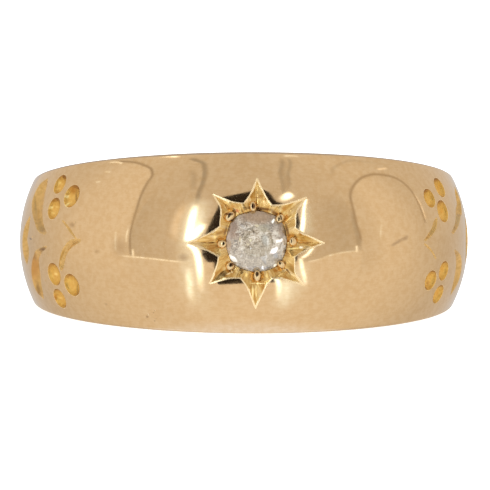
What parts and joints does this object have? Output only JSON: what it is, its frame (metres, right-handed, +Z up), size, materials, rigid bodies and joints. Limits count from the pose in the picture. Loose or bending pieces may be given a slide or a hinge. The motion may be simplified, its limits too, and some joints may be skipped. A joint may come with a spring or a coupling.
{
  "type": "diamond ring",
  "caption": "Domed gold finger ring that narrows to the back, with an old-cut diamond held by grains in a cut star and leaf and berry cuts on its shoulders.",
  "frame": {"origin": "on the surface that the ring lies on, below the middle of its outside", "axes": "+Z up, -Y towards the stone, +X to the right of someone who looks at the stone; the finger hole leans 7.3 degrees from +Z towards +Y"},
  "size_m": [0.0206, 0.0206, 0.0081],
  "materials": {
    "gold": "polished yellow gold with fine wear",
    "diamond": "polished, greyish and included"
  },
  "bodies": {
    "root": {"band": "gold", "diamond": "diamond"}
  },
  "joints": []
}
